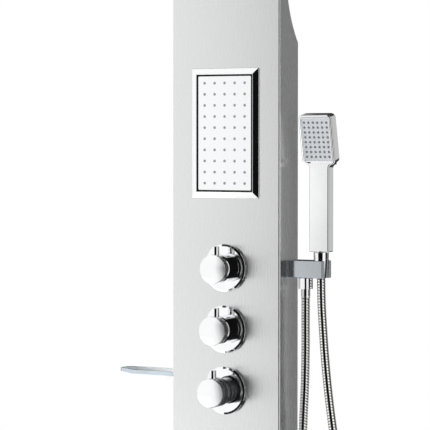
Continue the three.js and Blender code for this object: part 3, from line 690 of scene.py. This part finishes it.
def bodySpray(setup):
    low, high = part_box("spray_bezel")
    bezel = block("sprayBezel", (low.x, high.y - setup["bezelEdge"], low.z), high)
    selectFaces(bezel, lambda polygon: polygon.normal.y < -0.9)
    bpy.ops.mesh.inset(thickness=setup["bezelSlope"] - setup["bezelRim"],
                       depth=high.y - setup["bezelEdge"] - low.y)
    bpy.ops.object.mode_set(mode="OBJECT")
    slope, past = setup["bezelSlope"], setup["openingPast"]
    opening = block("bezelOpening", (low.x + slope, low.y - past, low.z + slope),
                    (high.x - slope, high.y + past, high.z - slope))
    booleanWith(bezel, opening, "DIFFERENCE")
    softenEdges(bezel, plainEdge, 3, 12)
    smoothShade(bezel, 12)
    dress(bezel, chrome, "column", "chrome", "spray_bezel")
    front = low.y + setup["behindRim"]
    halfOpenings = [(high.x - low.x) / 2 - setup["bezelSlope"], (high.z - low.z) / 2 - setup["bezelSlope"]]
    low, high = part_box("spray_plate")
    middleZ = (low.z + high.z) / 2
    halfX, halfZ = (half - setup["darkRing"] for half in halfOpenings)
    gap = setup["darkRingGap"]
    rim = [(x, high.y, middleZ + z)
           for x, z in roundedOutline(*[half - gap for half in halfOpenings], setup["corner"])]
    # A near-black ring fills the space between the plate and the bezel's opening, so a dark line shows all
    # round the plate.
    darkRing = flatRing("sprayDarkRing", rim, setup["darkRing"] - 2 * gap, (0, front + setup["darkRingBack"] - high.y, 0))
    softenEdges(darkRing, fineEdge)
    smoothShade(darkRing)
    dress(darkRing, blackRubber, "column", "black_rubber")
    outline = roundedOutline(halfX, halfZ, setup["corner"])
    plate = outlineFace("sprayPlate", [(x, high.y, middleZ + z) for x, z in outline])
    thicken(plate, (0, front - high.y, 0))
    softenEdges(plate, plainEdge)
    smoothShade(plate)
    dress(plate, plateSatin, "column", "satin_plate", "spray_plate")
    places = [(x, front, middleZ + z) for x, z in grid(setup["columns"], setup["rows"],
                                                       setup["pitchX"], setup["pitchZ"])]
    nozzleLength = low.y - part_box("spray_nozzle_mat")[0].y
    nozzles = nozzleField("sprayNozzles", nozzleProfile(setup["nozzle"], nozzleLength), places, "out")
    dress(nozzles, silicone, "column", "grey_silicone", "spray_nozzle_mat")
    dress(copyOfNode("spray_chamber", plainEdge), whitePlastic, "column", "white_plastic", "spray_chamber")


bodySpray(spraySetup)

rainSetup = {"count": 7, "pitch": 0.022, "nozzle": 0.0021, "corner": 0.004}


def rainHead(setup):
    low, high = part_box("rain_plate")
    middleY = (low.y + high.y) / 2
    half = (high.x - low.x) / 2
    plate = outlineFace("rainPlate", [(x, middleY + y, high.z) for x, y in
                                      roundedOutline(half, (high.y - low.y) / 2, setup["corner"])])
    thicken(plate, (0, 0, low.z - high.z))
    softenEdges(plate, plainEdge)
    smoothShade(plate)
    dress(plate, chrome, "column", "chrome", "rain_plate")
    places = [(x, middleY + y, low.z)
              for x, y in grid(setup["count"], setup["count"], setup["pitch"], setup["pitch"])]
    nozzleLength = low.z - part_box("rain_nozzle_mat")[0].z
    profile = [(radius, -height) for radius, height in nozzleProfile(setup["nozzle"], nozzleLength)]
    nozzles = nozzleField("rainNozzles", profile, places, "up")
    dress(nozzles, silicone, "column", "grey_silicone", "rain_nozzle_mat")
    dress(copyOfNode("rain_chamber", 0.0005), whitePlastic, "column", "white_plastic", "rain_chamber")


rainHead(rainSetup)
print("shower column: sprays made")


# ------ valve body and pipes

for node in ("valve_body", "cold_inlet", "hot_inlet", "arm_lock_nut"):
    dress(copyOfNode(node, 0.0005), brass, "column", "valve_brass", node)
for node in ("rain_feed_pipe", "spray_feed_pipe", "handset_feed_pipe"):
    dress(copyOfNode(node, 0, 2, 50), copper, "column", "pipe_copper", node)
print("shower column: waterways made")


# ------ outlet arm, fork and hose ends

armSetup = {"edge": 0.0012, "slot": 0.0156, "seatTop": 0.0124, "seatBottom": 0.0099, "bore": 0.005,
            "stud": 0.010, "past": 0.002}


def outletArm(setup):
    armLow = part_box("holder_arm")[0]
    forkLow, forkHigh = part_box("holder_fork")
    low = (sideX + clearance, forkLow.y, forkLow.z)
    arm = block("outletArm", low, forkHigh)
    softenEdges(arm, setup["edge"], 3)
    holderX = (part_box("cone_nut")[0].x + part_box("cone_nut")[1].x) / 2
    middleY = (forkLow.y + forkHigh.y) / 2
    reach = setup["past"]    # how far a cut runs past the block
    seat = turnOnLathe("seatCut", [(0, forkLow.z - reach), (setup["seatBottom"], forkLow.z - reach),
                                   (setup["seatBottom"], forkLow.z), (setup["seatTop"], forkHigh.z),
                                   (setup["seatTop"], forkHigh.z + reach), (0, forkHigh.z + reach)],
                       (holderX, middleY, 0))
    booleanWith(arm, seat, "DIFFERENCE")
    slot = block("slotCut", (holderX, middleY - setup["slot"] / 2, forkLow.z - reach),
                 (forkHigh.x + reach, middleY + setup["slot"] / 2, forkHigh.z + reach))
    booleanWith(arm, slot, "DIFFERENCE")
    softenEdges(arm, fineEdge, 2)
    smoothShade(arm)
    dress(arm, satinChrome, "column", "chrome", "holder_arm", "holder_fork")
    studZ = (forkLow.z + forkHigh.z) / 2
    stud = turnOnLathe("armStud", [(setup["bore"], armLow.x - sideX), (setup["stud"], armLow.x - sideX),
                                   (setup["stud"], clearance), (setup["bore"], clearance)],
                       (sideX, middleY, studZ), "right")
    softenEdges(stud, 0.0005)
    smoothShade(stud)
    dress(stud, chrome, "column", "chrome")


outletArm(armSetup)


def turnedNode(name, node, profile, body, material, slot, ease=plainEdge, angle=38):
    low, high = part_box(node)
    piece = turnOnLathe(name, profile, ((low.x + high.x) / 2, (low.y + high.y) / 2, 0))
    if ease:
        softenEdges(piece, ease)
    smoothShade(piece, angle)
    return dress(piece, material, body, slot, node)


endSetup = {
    "nutBore": 0.0077,
    "nutChamfer": 0.0012,
    "nutRounding": 0.003,
    "sleeve": 0.00735,
    "collar": 0.009,
    "collarHeight": 0.0016,
    "bead": 0.0004,
    "seatBottom": 0.0096,
    "seatTop": 0.0121,
    "threadRadius": 0.0095,
    "threadDepth": 0.016,
    "turnedEdge": 0.0002,
}


def hoseEnds(setup):
    bore = armSetup["bore"]
    inner, chamfer = setup["nutBore"], setup["nutChamfer"]
    low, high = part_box("hose_nut")
    centre = ((low.x + high.x) / 2, (low.y + high.y) / 2, 0)
    flat = min(high.x - low.x, high.y - low.y) / 2
    corner = flat / math.cos(math.pi / 6)
    barrel = turnOnLathe("hoseNutHex", [(inner, low.z), (flat * 0.98, low.z), (corner, low.z + chamfer),
                                        (corner, high.z - chamfer), (flat * 0.98, high.z), (inner, high.z)],
                         centre)
    nothingSelected()
    bpy.ops.mesh.primitive_cylinder_add(vertices=6, radius=corner, depth=0.03,
                                        location=(centre[0], centre[1], (low.z + high.z) / 2))
    prism = bpy.context.object
    prism.rotation_euler.z = math.radians(30)
    placeInMesh(prism)
    softenEdges(prism, setup["nutRounding"], 5, 40)
    booleanWith(barrel, prism, "INTERSECT")
    softenEdges(barrel, fineEdge)
    smoothShade(barrel, 25)
    dress(barrel, chrome, "column", "chrome", "hose_nut")
    for node in ("outlet_nipple", "hose_washer", "handset_washer"):
        rubber = node.endswith("washer")
        body = "handset" if node == "handset_washer" else "column"
        dress(copyOfNode(node, setup["turnedEdge"]), blackRubber if rubber else chrome, body,
              "black_rubber" if rubber else "chrome", node)

    sleeve, collar = setup["sleeve"], setup["collar"]
    low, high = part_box("hose_ferrule")
    neck = sleeve - setup["bead"]
    profile = [(bore, high.z), (bore, low.z), (sleeve, low.z), (sleeve, low.z + 0.0006),
               (neck, low.z + 0.001), (neck, low.z + 0.0016), (sleeve, low.z + 0.002),
               (sleeve, high.z - setup["collarHeight"]), (collar, high.z - setup["collarHeight"]),
               (collar, high.z)]
    turnedNode("hoseFerrule", "hose_ferrule", profile, "column", chrome, "chrome", setup["turnedEdge"], 25)
    low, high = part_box("handset_hose_tail")
    profile = [(bore, high.z), (bore, low.z), (sleeve, low.z), (sleeve, high.z - setup["collarHeight"]),
               (collar, high.z - setup["collarHeight"]), (collar, high.z)]
    turnedNode("hoseTail", "handset_hose_tail", profile, "hose_end", chrome, "chrome",
               setup["turnedEdge"], 25)
    low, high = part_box("cone_nut")
    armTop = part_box("holder_fork")[1].z
    grip = (high.x - low.x) / 2
    neck = grip - setup["bead"]
    thread, threadEnd = setup["threadRadius"], high.z - setup["threadDepth"]
    profile = [(inner, low.z), (setup["seatBottom"], low.z), (setup["seatTop"], armTop),
               (grip, armTop + 0.0006), (grip, armTop + 0.003), (neck, armTop + 0.0034),
               (neck, armTop + 0.0042), (grip, armTop + 0.0046), (grip, high.z - 0.001),
               (grip - 0.001, high.z), (thread, high.z), (thread, threadEnd), (inner, threadEnd)]
    turnedNode("coneNut", "cone_nut", profile, "handset", chrome, "chrome", 0, 25)


hoseEnds(endSetup)
print("shower column: outlet and hose ends made")


# ------ hand shower

handSetup = {
    "handleHalf": 0.0175,
    "handleDepth": 0.0185,
    "handleLength": 0.141,
    "headHalf": 0.0295,
    "headLength": 0.081,
    "corner": 0.0075,
    "shoulder": 0.006,
    "tilt": 12,
    "border": 0.0036,
    "rounding": 0.0024,
    "recess": 0.003,
    "columns": 6,
    "rows": 8,
    "pitch": 0.008,
    "nozzle": 0.0018,
    "nozzleLength": 0.0009,
    "hingeIn": 0.001,
    "recessWall": 0.0003,
    "recessSpare": 0.0015,
    "spigotFoot": 0.031,
    "spigotRadius": 0.0092,
    "spigotSink": 0.001,
    "faceCorner": 0.002,
    "faceIn": 0.001,
    "frameIn": 0.0015,
    "frameWidth": 0.0014,
    "frameThick": 0.0012,
}


def paddleOutline(setup):
    hand, head, corner, shoulder = setup["handleHalf"], setup["headHalf"], setup["corner"], setup["shoulder"]
    foot = setup["handleLength"]
    top = foot + setup["headLength"]
    right = [(hand, 0), (hand, foot - shoulder)]
    steps = 6
    for i in range(1, steps + 1):
        angle = math.pi / 2 * i / steps
        right.append((hand + shoulder * (1 - math.cos(angle)), foot - shoulder + shoulder * math.sin(angle)))
    for i in range(1, steps + 1):
        angle = math.pi / 2 * i / steps
        right.append((head - corner + corner * math.sin(angle), foot + corner - corner * math.cos(angle)))
    for i in range(steps + 1):
        angle = math.pi / 2 * i / steps
        right.append((head - corner + corner * math.cos(angle), top - corner + corner * math.sin(angle)))
    return right + [(-x, z) for x, z in reversed(right)]


def handShower(setup):
    nutLow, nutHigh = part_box("cone_nut")
    x = (nutLow.x + nutHigh.x) / 2
    y = (nutLow.y + nutHigh.y) / 2
    foot = nutHigh.z + clearance
    front = y - setup["handleDepth"] / 2
    body = outlineFace("handShowerBody", [(x + px, y + setup["handleDepth"] / 2, foot + pz)
                                          for px, pz in paddleOutline(setup)])
    thicken(body, (0, -setup["handleDepth"], 0))
    softenEdges(body, setup["rounding"], 5, 50)
    neckZ = foot + setup["handleLength"]
    editAll(body)
    bpy.ops.mesh.bisect(plane_co=(x, y, neckZ + 0.0001), plane_no=(0, 0, 1))
    selectFaces(body, lambda polygon: polygon.center.z > neckZ + 0.01 and polygon.normal.y < -0.999)
    bpy.ops.mesh.inset(thickness=setup["border"] - setup["rounding"], depth=0)
    bpy.ops.mesh.inset(thickness=setup["recessWall"], depth=-setup["recess"] - setup["recessSpare"])
    bpy.ops.mesh.select_mode(type="VERT")
    bpy.ops.mesh.select_all(action="DESELECT")
    bpy.ops.object.mode_set(mode="OBJECT")
    for vertex in body.data.vertices:
        vertex.select = vertex.co.z > neckZ + 0.0002
    bpy.ops.object.mode_set(mode="EDIT")
    bpy.ops.transform.rotate(value=math.radians(-setup["tilt"]), orient_axis="X", orient_type="GLOBAL",
                             center_override=(x, front + setup["hingeIn"], neckZ))
    bpy.ops.object.mode_set(mode="OBJECT")
    smoothShade(body, 30)
    bore, radius = armSetup["bore"], setup["spigotRadius"]
    spigotLow, spigotTop = nutLow.z + setup["spigotFoot"], foot + setup["spigotSink"]
    spigot = turnOnLathe("handShowerSpigot", [(bore, spigotLow), (radius, spigotLow), (radius, spigotTop),
                                              (bore, spigotTop)], (x, y, 0))
    smoothShade(spigot)
    joinInto(body, [spigot])
    dress(body, chrome, "handset", "chrome", "handset_body")


handShower(handSetup)


# Turns what was modelled upright on the head's front into the head's tilt.
def tiltWithHead(piece, setup):
    nutLow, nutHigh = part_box("cone_nut")
    y = (nutLow.y + nutHigh.y) / 2
    neckZ = nutHigh.z + clearance + setup["handleLength"]
    hinge = (0, y - setup["handleDepth"] / 2 + setup["hingeIn"], neckZ)
    editAll(piece)
    bpy.ops.transform.rotate(value=math.radians(-setup["tilt"]), orient_axis="X", orient_type="GLOBAL",
                             center_override=hinge)
    bpy.ops.object.mode_set(mode="OBJECT")


def handFace(setup):
    nutLow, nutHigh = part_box("cone_nut")
    x = (nutLow.x + nutHigh.x) / 2
    front = (nutLow.y + nutHigh.y) / 2 - setup["handleDepth"] / 2
    middleZ = nutHigh.z + clearance + setup["handleLength"] + setup["headLength"] / 2
    halfX = setup["headHalf"] - setup["border"] - clearance
    halfZ = setup["headLength"] / 2 - setup["border"] - clearance
    outline = [(x + px, middleZ + pz) for px, pz in roundedOutline(halfX, halfZ, setup["faceCorner"])]
    face = outlineFace("handNozzleFace", [(px, front + setup["recess"], pz) for px, pz in outline])
    thicken(face, (0, -setup["recess"] + setup["faceIn"], 0))
    softenEdges(face, 0.0006, 3)
    smoothShade(face)
    tiltWithHead(face, setup)
    dress(face, paleSilicone, "handset", "grey_silicone", "handset_nozzle_face")
    places = [(x + px, front + setup["faceIn"], middleZ + pz) for px, pz in
              grid(setup["columns"], setup["rows"], setup["pitch"], setup["pitch"])]
    tips = nozzleField("handNozzleTips", nozzleProfile(setup["nozzle"], setup["nozzleLength"]), places,
                       "out", 10)
    tiltWithHead(tips, setup)
    dress(tips, nozzleRubber, "handset", "grey_silicone")
    frameRing = flatRing("handFaceFrame", [(px, front + setup["frameIn"], pz) for px, pz in outline],
                         setup["frameWidth"], (0, -setup["frameThick"], 0))
    softenEdges(frameRing, fineEdge)
    smoothShade(frameRing)
    tiltWithHead(frameRing, setup)
    dress(frameRing, chrome, "handset", "chrome", "handset_face_frame")


handFace(handSetup)
print("shower column: hand shower made")


# ------ glass shelf

shelf = dress(copyOfNode("shelf_glass", 0.0006, 3), glass, "column", "shelf_glass", "shelf_glass")
shelf.data.materials.append(glassEdge)
for polygon in shelf.data.polygons:
    polygon.material_index = 1 if abs(polygon.normal.z) < 0.5 else 0
for node in ("shelf_support_front", "shelf_support_rear"):
    dress(copyOfNode(node, 0.0005, 2), chrome, "column", "chrome", node)
print("shower column: shelf made")


# ------ studio

studioSetup = {
    "floorZ": -1.2,
    "floorSize": 6,
    "floorColour": (0.88, 0.88, 0.88, 1),
    "floorLift": 0.45,
    "frontDistance": 1.2,
    "rearDistance": 1.6,
    "flagLow": -1.19,
    "flagHigh": 1.7,
    "roofPlace": (0, -0.3, 1.75),
    "roofSize": 3,
    "roofShade": 0.05,
    "lowPlace": (0.25, -0.75, -1.19),
    "lowSize": 1.2,
    "lowShade": 0.02,
    "skyForDiffuse": 0.6,
    "keyPower": 60,
    "fillPower": 30,
}


# One for what the camera, a mirror or clear glass sees, nought for the light that falls on things.
def seenDirectly(nodes, links):
    path = nodes.new("ShaderNodeLightPath")
    either = nodes.new("ShaderNodeMath")
    either.operation = "MAXIMUM"
    links.new(path.outputs["Is Camera Ray"], either.inputs[0])
    links.new(path.outputs["Is Glossy Ray"], either.inputs[1])
    anyOf = nodes.new("ShaderNodeMath")
    anyOf.operation = "MAXIMUM"
    links.new(either.outputs["Value"], anyOf.inputs[0])
    links.new(path.outputs["Is Transmission Ray"], anyOf.inputs[1])
    return anyOf.outputs["Value"]


def addFloor(setup):
    nothingSelected()
    bpy.ops.mesh.primitive_plane_add(size=setup["floorSize"], location=(0, 0, setup["floorZ"]))
    floor = bpy.context.object
    floor.name = "floor"
    material, nodes, links, shader = newMaterial("floorPaint")
    shader.inputs["Base Color"].default_value = setup["floorColour"]
    shader.inputs["Roughness"].default_value = 0.8
    shader.inputs["Emission Color"].default_value = (1, 1, 1, 1)
    lift = nodes.new("ShaderNodeMath")
    lift.operation = "MULTIPLY"
    lift.inputs[1].default_value = setup["floorLift"]
    links.new(seenDirectly(nodes, links), lift.inputs[0])
    links.new(lift.outputs["Value"], shader.inputs["Emission Strength"])
    floor.data.materials.append(material)


def addSky(setup):
    world = bpy.data.worlds.new("studioSky")
    bpy.context.scene.world = world
    world.use_nodes = True
    nodes, links = world.node_tree.nodes, world.node_tree.links
    background = nodes["Background"]
    background.inputs["Color"].default_value = (1, 1, 1, 1)
    strength = nodes.new("ShaderNodeMapRange")
    strength.inputs["To Min"].default_value = setup["skyForDiffuse"]
    strength.inputs["To Max"].default_value = 1
    links.new(seenDirectly(nodes, links), strength.inputs["Value"])
    links.new(strength.outputs["Result"], background.inputs["Strength"])


def addLamp(name, place, size, power):
    nothingSelected()
    bpy.ops.object.light_add(type="AREA", location=place)
    lamp = bpy.context.object
    lamp.name = name
    lamp.data.shape = "RECTANGLE"
    lamp.data.size, lamp.data.size_y = size
    lamp.data.energy = power
    lamp.visible_glossy = False
    lamp.rotation_euler = (Vector(cameraSetup["target"]) - Vector(place)).to_track_quat("-Z", "Y").to_euler()


# Only reflections see a flag: it casts no shadow and the camera looks through it.
def hangFlag(flag, shades):
    material, nodes, links, shader = newMaterial(flag.name + "Shade")
    nodes.remove(shader)
    glow = nodes.new("ShaderNodeEmission")
    span = nodes.new("ShaderNodeUVMap")
    split = nodes.new("ShaderNodeSeparateXYZ")
    ramp = nodes.new("ShaderNodeValToRGB")
    while len(ramp.color_ramp.elements) < len(shades):
        ramp.color_ramp.elements.new(0.5)
    for element, (place, shade) in zip(ramp.color_ramp.elements, shades):
        element.position = place
        element.color = (shade, shade, shade, 1)
    links.new(span.outputs["UV"], split.inputs["Vector"])
    links.new(split.outputs["X"], ramp.inputs["Fac"])
    links.new(ramp.outputs["Color"], glow.inputs["Color"])
    links.new(glow.outputs["Emission"], nodes["Material Output"].inputs["Surface"])
    flag.data.materials.append(material)
    flag.visible_camera = False
    flag.visible_diffuse = False
    flag.visible_transmission = False
    flag.visible_shadow = False


# A curved flag round the set; the edge where it begins is cut aside by height.
def addFlag(name, distance, shades, cut):
    fromTurn, toTurn = shades[0][0], shades[-1][0]
    steps = 24
    vertices = []
    for z, shift in cut:
        for i in range(steps + 1):
            angle = math.radians(fromTurn + shift + (toTurn - fromTurn - shift) * i / steps)
            vertices.append((distance * math.sin(angle), -distance * math.cos(angle), z))
    mesh = bpy.data.meshes.new(name)
    faces = [(first + i, first + i + 1, first + i + steps + 2, first + i + steps + 1)
             for first in range(0, (len(cut) - 1) * (steps + 1), steps + 1) for i in range(steps)]
    mesh.from_pydata(vertices, [], faces)
    layer = mesh.uv_layers.new(name="span")
    for loop in mesh.loops:
        layer.data[loop.index].uv = ((loop.vertex_index % (steps + 1)) / steps, 0.5)
    flag = bpy.data.objects.new(name, mesh)
    bpy.context.scene.collection.objects.link(flag)
    hangFlag(flag, [((turn - fromTurn) / (toTurn - fromTurn), shade) for turn, shade in shades])


def addFlatFlag(name, place, size, shade):
    nothingSelected()
    bpy.ops.mesh.primitive_plane_add(size=size, location=place)
    flag = bpy.context.object
    flag.name = name
    hangFlag(flag, [(0, shade), (1, shade)])


addFloor(studioSetup)
addSky(studioSetup)
addLamp("keyLamp", (-2.2, -2.6, 1.6), (2.4, 2.4), studioSetup["keyPower"])
addLamp("fillLamp", (2.8, -1.4, 0.8), (2.0, 2.4), studioSetup["fillPower"])
# Shades go by (turn in degrees, grey), the front flag's cut by (height, degrees aside).
frontShades = [(-24, 1), (-19, 0.97), (-13, 0.66), (-8, 0.28), (-5, 0.005), (52, 0.005), (56, 1)]
frontCut = [(-1.19, -20), (-1.02, -12), (-0.94, 0), (-0.62, -1), (-0.36, -4), (-0.25, -2), (0.1, -4),
            (1.7, -12)]
rearShades = [(90, 1), (94, 0.04), (138, 0.04), (140, 0.54), (149, 0.54), (151, 0.04), (205, 0.04), (209, 1)]
sideShades = [(-146, 1), (-142, 0.08), (-112, 0.08), (-108, 1)]
straightCut = [(studioSetup["flagLow"], 0), (studioSetup["flagHigh"], 0)]
addFlag("frontFlag", studioSetup["frontDistance"], frontShades, frontCut)
addFlag("rearFlag", studioSetup["rearDistance"], rearShades, straightCut)
addFlag("sideFlag", studioSetup["rearDistance"], sideShades, straightCut)
addFlatFlag("roofFlag", studioSetup["roofPlace"], studioSetup["roofSize"],
            studioSetup["roofShade"])
addFlatFlag("lowFlag", studioSetup["lowPlace"], studioSetup["lowSize"],
            studioSetup["lowShade"])
bpy.context.scene.view_settings.view_transform = "Standard"

print("shower column: studio made")
